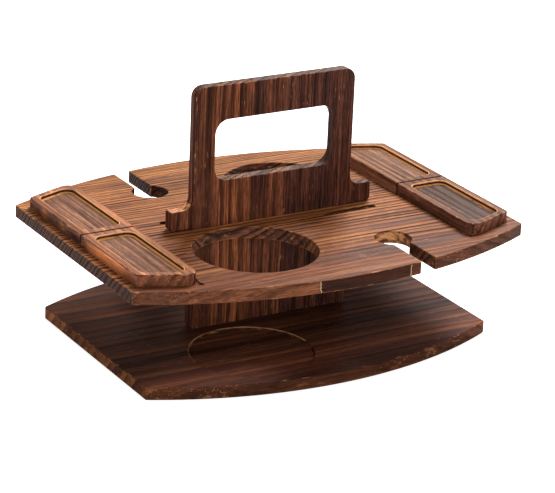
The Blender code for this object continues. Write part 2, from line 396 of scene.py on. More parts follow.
class Effect:
    """A shared shader node group that gives only masks and values."""

    NAME = ""
    INPUTS: dict = {}
    OUTPUTS: tuple = ()

    @classmethod
    def group(cls) -> bpy.types.NodeTree:
        """Return the group, and make it the first time."""
        found = bpy.data.node_groups.get(cls.NAME)
        if found:
            return found
        tree = bpy.data.node_groups.new(cls.NAME, "ShaderNodeTree")
        tree.interface.new_socket("Place", in_out="INPUT", socket_type="NodeSocketVector")
        for name, value in cls.INPUTS.items():
            socket = tree.interface.new_socket(name, in_out="INPUT", socket_type="NodeSocketFloat")
            socket.default_value = value
        for name in cls.OUTPUTS:
            tree.interface.new_socket(name, in_out="OUTPUT", socket_type="NodeSocketFloat")
        t = Tree(tree)
        given = t.add("NodeGroupInput").outputs
        split = t.add("ShaderNodeSeparateXYZ")
        t.feed(split.inputs[0], given["Place"])
        out = t.add("NodeGroupOutput").inputs
        for name, value in zip(cls.OUTPUTS, cls.wire(t, given, tuple(split.outputs))):
            t.feed(out[name], value)
        return tree

    @classmethod
    def use(cls, t: Tree, place, **values) -> tuple:
        """Add the group to a material.

        Args:
            t: Tree of the material.
            place: Socket with the place.
            values: Input values, with spaces in their names as underscores.

        Returns:
            The group's output sockets in order.
        """
        node = t.add("ShaderNodeGroup", node_tree=cls.group())
        t.feed(node.inputs["Place"], place)
        for name, value in values.items():
            node.inputs[name.replace("_", " ")].default_value = value
        return tuple(node.outputs[name] for name in cls.OUTPUTS)


class BrushedGrain(Effect):
    """Growth rings, brushed grooves, streaks, tone and flecks of a sawn face."""

    NAME = "Brushed grain"
    INPUTS = {"Pitch": 0.0045, "Bend": 0.0, "Lean": 0.5, "Wander": 0.004, "Ring Tone": 0.4, "Seed": 0.0}
    OUTPUTS = ("Groove", "Streak", "Fibre", "Tone", "Fleck", "Height")

    @staticmethod
    def wire(t: Tree, given, split: tuple) -> tuple:
        """Work out every output from a place whose X runs along the grain."""
        x, y, z = split
        seed = given["Seed"]
        slow = t.math("SUBTRACT", t.noise(t.stretched(split, (5.5, 16.0, 16.0), seed), 1.0), 0.5)
        quick = t.math("SUBTRACT", t.noise(t.stretched(split, (24.0, 75.0, 75.0), seed), 1.0), 0.5)
        stray = t.math("MULTIPLY_ADD", quick, 0.34, slow)
        across = t.math("MULTIPLY_ADD", z, given["Lean"], y)
        across = t.math("MULTIPLY_ADD", stray, given["Wander"], across)
        bent = t.math("MULTIPLY", t.math("MULTIPLY", across, across), given["Bend"])
        even = t.math("DIVIDE", t.math("ADD", across, bent), given["Pitch"])
        gap = t.noise(t.vector(t.math("MULTIPLY", even, 0.37), seed, 0.0), 0.0)
        count = t.math("MULTIPLY_ADD", gap, 1.5, even)
        ring = t.math("FLOOR", count)
        part = t.math("FRACT", count)
        chance = t.add("ShaderNodeTexWhiteNoise", noise_dimensions="1D")
        t.feed(chance.inputs["W"], t.math("ADD", ring, seed))
        luck = chance.outputs["Value"]
        late = t.math("MULTIPLY", t.ramp(part, 0.30, 0.78), t.ramp(part, 1.0, 0.90))
        fade = t.noise(t.vector(t.math("MULTIPLY", x, 9.0), t.math("MULTIPLY", ring, 5.3), seed), 1.0)
        groove = t.math("MULTIPLY", late, t.ramp(luck, 0.0, 0.7, 0.55, 1.0))
        groove = t.math("MULTIPLY", groove, t.ramp(fade, 0.32, 0.58, 0.55, 1.0))
        streak = t.noise(t.stretched((x, across, z), (13.0, 560.0, 560.0), seed), 4.0, 0.74)
        fibre = t.noise(t.stretched((x, across, z), (120.0, 1500.0, 1500.0), seed), 2.0, 0.6)
        patch = t.noise(t.stretched((x, across, z), (6.0, 40.0, 30.0), seed), 2.0)
        tone = t.math("MULTIPLY_ADD", t.math("SUBTRACT", luck, patch), given["Ring Tone"], patch)
        chips = t.ramp(t.noise(t.stretched(split, (130.0, 2100.0, 2100.0), seed), 0.0), 0.735, 0.785)
        sparse = t.ramp(t.noise(t.stretched(split, (35.0, 60.0, 60.0), seed), 1.0), 0.51, 0.64)
        fleck = t.math("MULTIPLY", chips, sparse)
        height = t.math("MULTIPLY_ADD", groove, -1.0, t.math("MULTIPLY", streak, 0.45))
        height = t.math("MULTIPLY_ADD", fibre, 0.16, height)
        return groove, streak, fibre, tone, fleck, height


class UnevenPatch(Effect):
    """Soft-edged patches, for scorching and rubbed places, and for painted shade and painted highlight."""

    NAME = "Uneven patch"
    INPUTS = {"Size": 0.012, "Cover": 0.5, "Seed": 0.0}
    OUTPUTS = ("Mask",)

    @staticmethod
    def wire(t: Tree, given, split: tuple) -> tuple:
        """Cut a two-octave noise at the level that leaves the wanted cover."""
        per_metre = t.math("DIVIDE", 1.0, given["Size"])
        x, y, z = (t.math("MULTIPLY", value, per_metre) for value in split)
        cloud = t.noise(t.vector(t.math("MULTIPLY_ADD", x, 0.30, given["Seed"]), y, z), 4.0, 0.68)
        level = t.ramp(given["Cover"], 0.0, 1.0, 0.72, 0.28, "LINEAR")
        low, high = t.math("SUBTRACT", level, 0.12), t.math("ADD", level, 0.12)
        return (t.ramp(cloud, low, high),)


class GlueLine(Effect):
    """Thin pale line where two staves were glued end to end."""

    NAME = "Glue line"
    INPUTS = {"At": 0.0, "Half Width": 0.0005, "Front": -0.125}
    OUTPUTS = ("Mask",)

    @staticmethod
    def wire(t: Tree, given, split: tuple) -> tuple:
        """Measure how far a place is from the wavering line."""
        x, y, z = split
        waver = t.math("SUBTRACT", t.noise(t.stretched(split, (90.0, 300.0, 420.0)), 1.0), 0.5)
        drawn = t.math("MULTIPLY_ADD", waver, 0.003, x)
        away = t.math("ABSOLUTE", t.math("SUBTRACT", drawn, given["At"]))
        line = t.ramp(away, given["Half Width"], t.math("MULTIPLY", given["Half Width"], 0.5))
        return (t.math("MULTIPLY", line, t.math("LESS_THAN", y, given["Front"])),)


@dataclass(frozen=True)
class Band:
    """Tint of one place across a piece.

    Attributes:
        at: Distance across the grain, in metres.
        tint: What the colour is multiplied by.
        groove: How strongly the grooves show there.
    """

    at: float
    tint: tuple
    groove: float = 1.0


@dataclass(frozen=True)
class Finish:
    """A finish whose material is made once.

    Attributes:
        name: Name of the material.
    """

    name: str

    def material(self) -> bpy.types.Material:
        """Build the material, or return it if it exists."""
        made = bpy.data.materials.get(self.name)
        if not made:
            made = bpy.data.materials.new(self.name)
            made.use_nodes = True
            t = Tree(made.node_tree)
            place = t.add("ShaderNodeTexCoord").outputs["Object"]
            self.shade(t, made.node_tree.nodes["Principled BSDF"], place)
        return made

    @staticmethod
    def coat(t: Tree, shader: bpy.types.Node, colour, rough, height, relief: float) -> None:
        """Join colour, roughness and a bump of some depth to the shader."""
        t.feed(shader.inputs["Base Color"], colour)
        t.feed(shader.inputs["Roughness"], rough)
        bump = t.add("ShaderNodeBump")
        bump.inputs["Distance"].default_value = relief
        t.feed(bump.inputs["Height"], height)
        t.feed(shader.inputs["Normal"], bump.outputs[0])


@dataclass(frozen=True)
class StainedWood(Finish):
    """Scorched, wire-brushed and oiled wood.

    Attributes:
        light: Colour of the palest wood.
        middle: Colour of most of the wood.
        dark: Colour of the darkest wood.
        char: Colour of the grooves and of scorched places.
        bare_and_highlight: Colour that shows where the stain has rubbed off, and the colour of painted
            highlights on some walls, lips and coves.
        grain: Direction of the grain.
        pitch: Mean width of a growth ring.
        bend: How fast the rings narrow across the piece.
        lean: How far the rings lean over in the board.
        wander: How far a ring strays as it runs.
        ring_tone: How much whole rings differ in tone.
        seed: Picks another part of the log.
        relief: Depth of the brushing.
        rough: Roughness of the wood and of the grooves.
        scorch_and_shade: Share of the face that is scorched; on the rear notch and tray recess walls it
            also stands for painted shade.
        wear_and_highlight: Share of the face where pale wood shows; on the front notch, tray lips and
            coves it also stands for painted highlight.
        patch: Size of the scorched and worn places.
        flecks: Strength of the pale flecks.
        streaks: Contrast of the fine streaks.
        brushed: How dark the brushed grooves are.
        gloss: Strength of the oiled sheen.
        bands: Tints across the grain, or along X where the bands run across a side.
        band_axis: Axis that the bands are measured along.
        joints: Where staves were glued end to end.
        glue: Colour of the glue there.
    """

    light: tuple = (0.45, 0.19, 0.080)
    middle: tuple = (0.29, 0.112, 0.050)
    dark: tuple = (0.13, 0.050, 0.027)
    char: tuple = (0.022, 0.009, 0.006)
    bare_and_highlight: tuple = (0.74, 0.32, 0.125)
    grain: Grain = Grain.ALONG_X
    pitch: float = 0.0045
    bend: float = 0.0
    lean: float = 0.5
    wander: float = 0.005
    ring_tone: float = 0.4
    seed: float = 0.0
    relief: float = 0.0005
    rough: tuple = (0.46, 0.75)
    scorch_and_shade: float = 0.0
    wear_and_highlight: float = 0.0
    patch: float = 0.012
    flecks: float = 0.8
    streaks: float = 0.40
    brushed: float = 0.92
    gloss: float = 0.10
    bands: tuple = ()
    band_axis: int = 1
    joints: tuple = ()
    glue: tuple = (0.70, 0.52, 0.30)

    def shade(self, t: Tree, shader: bpy.types.Node, place: bpy.types.NodeSocket) -> None:
        """Stain, scorch and wear the wood.

        Args:
            t: Tree of the material.
            shader: Shader that the finish is joined to.
            place: Socket with the place.
        """
        turn = t.add("ShaderNodeMapping", vector_type="POINT")
        turn.inputs["Rotation"].default_value = self.grain.value
        t.feed(turn.inputs["Vector"], place)
        along = turn.outputs[0]
        groove, streak, fibre, tone, fleck, height = BrushedGrain.use(
            t, along, Pitch=self.pitch, Bend=self.bend, Lean=self.lean, Wander=self.wander,
            Ring_Tone=self.ring_tone, Seed=self.seed)
        colour = t.blend(t.ramp(tone, 0.52, 0.24), self.middle, self.dark)
        colour = t.blend(t.ramp(tone, 0.48, 0.80), colour, self.light)
        if self.bands:
            tint, strength = self.banding(t, place)
            colour = t.blend(1.0, colour, tint, "MULTIPLY")
            groove = t.math("MULTIPLY", groove, strength)
        shade = t.ramp(streak, 0.36, 0.64, 1.0 - self.streaks, 1.0 + self.streaks, "LINEAR")
        short = t.ramp(fibre, 0.34, 0.66, 1.0 - 0.6 * self.streaks, 1.0 + 0.6 * self.streaks, "LINEAR")
        shade = t.math("MULTIPLY", shade, short)
        colour = t.blend(1.0, colour, t.vector(shade, shade, shade), "MULTIPLY")
        colour = t.blend(t.math("MULTIPLY", groove, self.brushed), colour, self.char)
        colour = t.blend(t.math("MULTIPLY", fleck, self.flecks), colour, self.bare_and_highlight)
        # Dark patches: char, and on some walls painted shade.
        if self.scorch_and_shade:
            (burnt_and_shaded,) = UnevenPatch.use(t, along, Size=self.patch, Cover=self.scorch_and_shade, Seed=self.seed + 4.0)
            colour = t.blend(t.math("MULTIPLY", burnt_and_shaded, 0.85), colour, self.char)
        # Pale patches: rubbed wood, and on some walls, lips and coves painted highlight.
        if self.wear_and_highlight:
            (worn_and_lit,) = UnevenPatch.use(t, along, Size=self.patch, Cover=self.wear_and_highlight, Seed=self.seed + 9.0)
            colour = t.blend(t.math("MULTIPLY", worn_and_lit, 0.9), colour, self.bare_and_highlight)
        for joint in self.joints:
            (line,) = GlueLine.use(t, place, At=joint)
            colour = t.blend(t.math("MULTIPLY", line, 0.8), colour, self.glue)
        self.coat(t, shader, colour, t.ramp(groove, 0.0, 1.0, *self.rough), height, self.relief)
        shader.inputs["Specular IOR Level"].default_value = self.gloss

    def banding(self, t: Tree, place) -> tuple:
        """Tint and groove strength by place across the piece.

        Args:
            t: Tree of the material.
            place: Socket with the place.

        Returns:
            The tint socket and the strength socket.
        """
        split = t.add("ShaderNodeSeparateXYZ")
        t.feed(split.inputs[0], place)
        first, last = self.bands[0].at, self.bands[-1].at
        scale = t.add("ShaderNodeValToRGB")
        t.feed(scale.inputs[0], t.ramp(split.outputs[self.band_axis], first, last, shape="LINEAR"))
        stops = scale.color_ramp.elements
        for band in self.bands[1:-1]:
            stops.new((band.at - first) / (last - first))
        for stop, band in zip(stops, self.bands):
            stop.color = (*band.tint, band.groove)
        return scale.outputs["Color"], scale.outputs["Alpha"]


@dataclass(frozen=True)
class ZincPlate(Finish):
    """Bright zinc plate on a pressed steel screw."""

    name: str = "Zinc plate"
    colour: tuple = (0.62, 0.60, 0.55)
    rough: tuple = (0.28, 0.45)
    relief: float = 0.00003

    def shade(self, t: Tree, shader: bpy.types.Node, place: bpy.types.NodeSocket) -> None:
        """Cloud the plating a little."""
        split = t.add("ShaderNodeSeparateXYZ")
        t.feed(split.inputs[0], place)
        cloud = t.noise(t.stretched(tuple(split.outputs), (900.0, 900.0, 900.0)), 3.0)
        darker = tuple(0.7 * channel for channel in self.colour)
        colour = t.blend(t.ramp(cloud, 0.35, 0.65), darker, self.colour)
        self.coat(t, shader, colour, t.ramp(cloud, 0.3, 0.7, *self.rough), cloud, self.relief)
        shader.inputs["Metallic"].default_value = 1.0


# -------------------------------------------------------------- shared geometry
class Slot(IntEnum):
    """Material slots of a finished piece."""

    FACE = 0
    ARRIS = 1
    SIDE = 2
    WALL = 3
    INNER = 4
    BLACK = 5
    EDGE = 6


@dataclass(frozen=True)
class Bow:
    """A board's bowed plan: straight ends and two sides of one radius.

    Attributes:
        half_length: Half the length along X.
        half_end: Half the width at the two ends.
        half_middle: Half the width at the middle.
    """

    half_length: float
    half_end: float
    half_middle: float

    @classmethod
    @cache
    def of_node(cls, name: str) -> Bow:
        """Measure a board's plan on its solid."""
        places = [vert.co for vert in bpy.data.objects[name].data.vertices]
        length = max(place.x for place in places)
        middle = max(place.y for place in places)
        end = max(place.y for place in places if place.x > length - 0.0002)
        return cls(length, end, middle)

    @property
    def radius(self) -> float:
        """Radius of the bowed sides."""
        rise = self.half_middle - self.half_end
        return (self.half_length ** 2 + rise ** 2) / (2 * rise)

    @property
    def centre(self) -> float:
        """Y of the rear side's centre."""
        return self.half_middle - self.radius

    def on_outline(self, place: Vector, slack: float = 0.0015) -> bool:
        """Whether a place lies on the board's outer side."""
        reach = math.hypot(place.x, abs(place.y) - self.centre)
        return abs(place.x) > self.half_length - slack or reach > self.radius - slack

    def trim(self, obj: bpy.types.Object, bottom: float, top: float, setback: float = 0.0) -> None:
        """Trim a blank to both bowed sides, each set back by some distance."""
        for side in (-1, 1):
            middle = (0.0, side * (self.centre - setback))
            Bench.combine(obj, Bench.drum("bow", middle, self.radius, bottom, top, 720), "INTERSECT")

    def side_at(self, x: float, setback: float = 0.0) -> float:
        """Y of the rear side, set back by some distance, at one place along the board."""
        return self.centre + math.sqrt(self.radius ** 2 - x ** 2) - setback


@dataclass
class Piece:
    """One finished piece that stands for a solid of the frame.

    Attributes:
        node: Name of the solid it stands for.
        body: Body it rides on.
        slot: Material slot of the record; not used.
        finishes: Materials, first the faces and then the rubbed arrises.
    """

    node: str
    body: str
    slot: str
    finishes: list = field(default_factory=list)

    def hand_over(self, obj: bpy.types.Object) -> bpy.types.Object:
        """Name, dress and join a finished piece to the frame."""
        obj.name = obj.data.name = f"{self.node}_piece"
        Bench.smooth(obj)
        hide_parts(self.node)
        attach(obj, self.body)
        LOG.info("%s: %d faces", obj.name, len(obj.data.polygons))
        return obj

    def finish_faces(self, obj: bpy.types.Object) -> None:
        """Put the finishes in the object's slots and give each face its own.

        Args:
            obj: Solid whose arrises aren't eased yet.
        """
        obj.data.materials.clear()
        for finish in self.finishes:
            obj.data.materials.append(finish.material())
        for face in obj.data.polygons:
            face.material_index = self.finish_of(face.center, face.normal)

    def finish_of(self, centre: Vector, normal: Vector) -> int:
        """Slot of the finish that a face takes."""
        return Slot.FACE


STAND = "stand"
HOLE_CENTRE = Vector((-0.0465, -0.060))
HOLE_RADIUS = 0.0475
HOLE_SIDES = 128


def both_ends(centre: Vector) -> tuple:
    """A place and its twin half a turn round."""
    return ((1, centre), (-1, -centre))


@dataclass
class Screw(Piece):
    """Countersunk wood screw with a square driver socket, head down."""

    head: float = 0.0035
    shank: float = 0.00175
    cone_end: float = 0.0025
    rim: float = 0.0004
    point: float = 0.0035
    tip: float = 0.0005
    drive: float = 0.00245
    drive_depth: float = 0.00175
    clearance: float = 0.0003
    arris: float = 0.00008

    def turned(self, grow: float = 0.0) -> bpy.types.Object:
        """Turn the screw, or with some growth the tool that clears its hole."""
        low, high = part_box(self.node)
        centre = ((low.x + high.x) / 2, (low.y + high.y) / 2)
        bottom = low.z - 3 * grow
        profile = ((self.head + grow, bottom), (self.head + grow, low.z + self.rim),
                   (self.shank + grow, low.z + self.cone_end), (self.shank + grow, high.z - self.point),
                   (self.tip + grow, high.z + grow))
        return Bench.lathe(self.node + "_blank", centre, profile)

    def build(self) -> bpy.types.Object:
        """Model the screw."""
        low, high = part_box(self.node)
        middle = (low + high) / 2
        half = self.drive / 2
        socket = Bench.block("socket", (middle.x - half, middle.y - half, low.z - SPARE),
                             (middle.x + half, middle.y + half, low.z + self.drive_depth))
        screw = Bench.combine(self.turned(), socket)
        self.finish_faces(screw)
        Bench.ease(screw, self.arris, slot=0, segments=2, clamp=True)
        return self.hand_over(screw)


@dataclass
class Board(Piece):
    """A bow-sided board that is drilled for its screws."""

    screws: tuple = ()
    arris: float = 0.0007

    def blank(self) -> bpy.types.Object:
        """Saw the bowed blank."""
        low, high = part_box(self.node)
        board = Bench.block(self.node + "_blank", low, high)
        Bow.of_node(self.node).trim(board, low.z - REACH, high.z + REACH)
        return board

    def complete(self, board: bpy.types.Object) -> None:
        """Finish the cut board and ease it, and then drill it."""
        Bench.weld(board, MERGE)
        self.finish_faces(board)
        Bench.ease(board, self.arris)
        for screw in self.screws:
            Bench.combine(board, screw.turned(screw.clearance))


@dataclass
class TopBoard(Board):
    """Upper board with holes, notches, grooves, plate slot and tray pockets."""

    notch_centre: Vector = field(default_factory=lambda: Vector((0.060, -0.083)))
    notch_radius: float = 0.01425
    notch_channel: float = 0.0138
    groove_centre: Vector = field(default_factory=lambda: Vector((0.0615, -0.0168)))
    groove_length: float = 0.0495
    groove_width: float = 0.0054
    groove_depth: float = 0.0035
    groove_nose: float = 0.0012
    slot_half: float = 0.0698
    slot_gap: float = 0.0003
    pocket_depth: float = 0.002
    pocket_setback: float = 0.0127
    pocket_inner: float = 0.1155
    pocket_outer: float = 0.1616

    def build(self) -> bpy.types.Object:
        """Model the board."""
        low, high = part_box(self.node)
        below, above = low.z - REACH, high.z + REACH
        board = self.blank()
        for _, centre in both_ends(HOLE_CENTRE):
            Bench.combine(board, Bench.drum("hole", centre, HOLE_RADIUS, below, above, HOLE_SIDES))
        for side, centre in both_ends(self.notch_centre):
            eye = Bench.drum("eye", centre, self.notch_radius, below, above, 64)
            half = self.notch_channel / 2
            ends = sorted((centre.y, -side * (high.y + REACH)))
            way = Bench.block("way", (centre.x - half, ends[0], below + SPARE),
                              (centre.x + half, ends[1], above - SPARE))
            Bench.combine(board, Bench.combine(eye, way, "UNION"))
        plate_low, plate_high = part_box("handle_plate")
        Bench.combine(board, Bench.block("slot", (-self.slot_half, plate_low.y - self.slot_gap, below),
                                         (self.slot_half, plate_high.y + self.slot_gap, above)))
        for _, centre in both_ends(self.groove_centre):
            Bench.combine(board, self.groove_tool(centre, high.z))
        for side in (-1, 1):
            ends = sorted((side * self.pocket_inner, side * self.pocket_outer))
            pocket = Bench.block("pocket", (ends[0], low.y, high.z - self.pocket_depth),
                                 (ends[1], high.y, above))
            Bow.of_node(self.node).trim(pocket, below, above + REACH, self.pocket_setback)
            Bench.combine(board, pocket)
        self.complete(board)
        return self.hand_over(board)

    def finish_of(self, centre: Vector, normal: Vector) -> int:
        """Tell faces, outer sides, notch walls and other cut walls apart."""
        if abs(normal.z) > 0.5:
            return Slot.FACE
        # The front notch's walls get a pale golden finish, rubbed wood plus painted highlight, and the
        # rear notch's walls a nearly black one, char plus painted shade.
        for side, middle in both_ends(self.notch_centre):
            if (centre.xy - middle).length < self.notch_radius + SPARE:
                return Slot.INNER if side > 0 else Slot.BLACK
        if Bow.of_node(self.node).on_outline(centre):
            return Slot.SIDE
        # The rear notch's channel walls take the same nearly black finish: char plus painted shade.
        rear_channel = abs(centre.x + self.notch_centre.x) < self.notch_channel and centre.y > 0
        return Slot.BLACK if rear_channel else Slot.WALL

    def groove_tool(self, centre: Vector, face: float) -> bpy.types.Object:
        """Round-ended, round-nosed cutter for one short groove."""
        half = Vector((self.groove_length / 2, self.groove_width / 2))
        floor = face - self.groove_depth
        tool = Bench.block("groove", (*(centre - half), floor), (*(centre + half), face + REACH))
        Bench.round_edges(tool, upright_edge, half.y * 0.98, 5)
        Bench.round_edges(tool, level_edge(floor), self.groove_nose, 3)
        return tool


@dataclass
class BaseBoard(Board):
    """Lower board with a shallow round seat under each hole."""

    seat_depth: float = 0.0022
    cove: float = 0.0009

    def build(self) -> bpy.types.Object:
        """Model the board."""
        board = self.blank()
        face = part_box(self.node)[1].z
        floor = face - self.seat_depth
        for _, centre in both_ends(HOLE_CENTRE):
            seat = Bench.drum("seat", centre, HOLE_RADIUS, floor, face + REACH, HOLE_SIDES)
            Bench.round_edges(seat, level_edge(floor), self.cove, 3)
            Bench.combine(board, seat)
        self.complete(board)
        for face in board.data.polygons:
            if face.material_index == Slot.ARRIS and self.at_seat(face.center):
                face.material_index = Slot.INNER if face.normal.y < 0.0 else Slot.WALL
        return self.hand_over(board)

    def at_seat(self, centre: Vector) -> bool:
        """Whether a place lies on the lip of a round seat."""
        reach = HOLE_RADIUS + 2 * self.arris
        return any((centre.xy - middle).length < reach for _, middle in both_ends(HOLE_CENTRE))

    def finish_of(self, centre: Vector, normal: Vector) -> int:
        """Tell faces, outer sides and cut walls apart."""
        if abs(normal.z) > 0.8:
            return Slot.FACE
        return Slot.SIDE if Bow.of_node(self.node).on_outline(centre) else Slot.WALL


@dataclass
class HandlePlate(Piece):
    """Upright plate: foot, ears and hand grip."""

    ear_height: float = 0.0155
    ear_gap: float = 0.0003
    half_width: float = 0.0695
    grip_half: float = 0.052
    grip_bottom: float = 0.1285
    grip_top: float = 0.1765
    grip_corner: float = 0.011
    shoulder: float = 0.0085
    foot_corner: float = 0.0035
    ear_corner: float = 0.0025
    arris: float = 0.0009

    def build(self) -> bpy.types.Object:
        """Model the plate."""
        low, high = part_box(self.node)
        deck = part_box("top_board")[1].z
        ear_low, ear_high = deck + self.ear_gap, deck + self.ear_height
        plate = Bench.block(self.node + "_blank", (-self.half_width, low.y, low.z),
                            (self.half_width, high.y, high.z))
        ears = Bench.block("ears", (low.x, low.y, ear_low), (high.x, high.y, ear_high))
        Bench.combine(plate, ears, "UNION")
        thick = high.y - low.y
        for x, z, radius, segments in ((self.half_width, high.z, self.shoulder, 8),
                                       (self.half_width, ear_high, self.shoulder, 8),
                                       (self.half_width, low.z, self.foot_corner, 5),
                                       (high.x, ear_low, self.ear_corner, 4)):
            Bench.round_edges(plate, through_edge(x, z, thick), radius, segments)
        grip = Bench.block("grip", (-self.grip_half, low.y - REACH, self.grip_bottom),
                           (self.grip_half, high.y + REACH, self.grip_top))
        for level in (self.grip_bottom, self.grip_top):
            corner = through_edge(self.grip_half, level, thick + 2 * REACH)
            Bench.round_edges(grip, corner, self.grip_corner, 10)
        Bench.combine(plate, grip)
        self.finish_faces(plate)
        Bench.ease(plate, self.arris)
        return self.hand_over(plate)

    def finish_of(self, centre: Vector, normal: Vector) -> int:
        """Tell the two broad faces, the long sides and the end grain apart."""
        if abs(normal.y) > 0.5:
            return Slot.FACE
        return Slot.WALL if abs(normal.z) > 0.6 else Slot.SIDE


@dataclass
class Tray(Piece):
    """One lift-out tray, modelled at the right rear and mirrored to its place."""

    side: tuple = (1, 1)
    setback: float = 0.0130
    inner_corner: float = 0.0085
    outer_corner: float = 0.002
    rim: float = 0.0062
    seam_rim: float = 0.0076
    recess: float = 0.0032
    recess_corner: float = 0.007
    cove: float = 0.0014
    seam_edge: float = 0.0010
    arris: float = 0.0008
    inner: float = field(default=0.0, init=False)
    outer: float = field(default=0.0, init=False)
    top: float = field(default=0.0, init=False)

    def build(self) -> bpy.types.Object:
        """Model the tray."""
        low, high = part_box(self.node)
        bow = Bow.of_node("top_board")
        self.inner, self.outer = sorted((abs(low.x), abs(high.x)))
        self.top = high.z
        seam = min(abs(low.y), abs(high.y))
        far = max(abs(low.y), abs(high.y)) + 2 * REACH
        tray = Bench.block(self.node + "_blank", (self.inner, seam, low.z), (self.outer, far, high.z))
        bow.trim(tray, low.z - REACH, high.z + REACH, self.setback)
        self.round_bow_corner(tray, self.inner, self.inner_corner, self.setback, 1)
        self.round_bow_corner(tray, self.outer, self.outer_corner, self.setback, -1)
        floor = high.z - self.recess
        left, right = self.inner + self.rim, self.outer - self.rim
        hollow = Bench.block("hollow", (left, self.seam_rim, floor), (right, far, high.z + REACH / 2))
        bow.trim(hollow, floor - REACH, high.z + 2 * REACH, self.setback + self.rim)
        for x, inward in ((left, 1), (right, -1)):
            self.round_bow_corner(hollow, x, self.recess_corner, self.setback + self.rim, inward)
            self.round_seam_corner(hollow, x, self.recess_corner, inward)
        Bench.weld(hollow, FINE_MERGE)
        Bench.round_edges(hollow, level_edge(floor), self.cove, 4)
        Bench.combine(tray, hollow)
        Bench.weld(tray, MERGE)
        Bench.round_edges(tray, lambda a, b: min(a.z, b.z) > high.z - TINY and max(a.y, b.y) < seam + TINY,
                          self.seam_edge, 2)
        self.finish_faces(tray)
        Bench.ease(tray, self.arris)
        # Faces by the seam take the dark recess-wall finish: painted shade in the gap between the two
        # trays.
        for face in tray.data.polygons:
            if face.center.y < seam + self.seam_edge:
                face.material_index = Slot.WALL
            elif face.material_index == Slot.ARRIS and not self.within(face.center):
                face.material_index = Slot.EDGE
        self.place(tray)
        return self.hand_over(tray)

    def finish_of(self, centre: Vector, normal: Vector) -> int:
        """Tell the rim, the cove, the recess and the outer sides apart."""
        if centre.z > self.top - TINY:
            return Slot.FACE
        if not self.within(centre):
            return Slot.SIDE
        if normal.z > 0.7 and centre.z < self.top - self.recess + TINY:
            return Slot.INNER
        return Slot.BLACK if normal.z > 0.25 else Slot.WALL

    def within(self, centre: Vector) -> bool:
        """Whether a place lies inside the middle of the rim, before mirroring."""
        half = self.rim / 2
        end = Bow.of_node("top_board").side_at(centre.x, self.setback + half)
        return self.inner + half < centre.x < self.outer - half and self.seam_rim / 2 < centre.y < end

    def round_bow_corner(self, obj: bpy.types.Object, x: float, radius: float, setback: float,
                         inward: int) -> None:
        """Round the corner between an upright side and the bowed end.

        Args:
            obj: Solid whose corner is rounded.
            x: Place of the upright side.
            radius: Radius of the round.
            setback: How far the bowed end is set back from the board's.
            inward: Sign of the way from the side into the solid.
        """
        bow = Bow.of_node("top_board")
        low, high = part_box(self.node)
        middle = x + inward * radius
        reach = bow.radius - radius
        level = bow.centre - setback + math.sqrt(reach ** 2 - middle ** 2)
        touch = middle * bow.radius / reach
        near, far = sorted((x - inward * self.rim / 2, touch))
        Bench.route_corner(obj, (middle, level), radius, (near, level, low.z - REACH),
                           (far, level + 5 * REACH, high.z + REACH))

    def round_seam_corner(self, obj: bpy.types.Object, x: float, radius: float, inward: int) -> None:
        """Round the corner between an upright side and the side next to the seam."""
        low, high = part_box(self.node)
        middle, level = x + inward * radius, self.seam_rim + radius
        near, far = sorted((x - inward * self.rim / 2, middle))
        Bench.route_corner(obj, (middle, level), radius, (near, self.seam_rim / 2, low.z - REACH),
                           (far, level, high.z + REACH))

    def place(self, tray: bpy.types.Object) -> None:
        """Mirror the tray to its own quarter and turn its faces out again."""
        tray.scale = (self.side[0], self.side[1], 1.0)
        with Bench.editing(Bench.settle(tray)):
            bpy.ops.mesh.normals_make_consistent(inside=False)


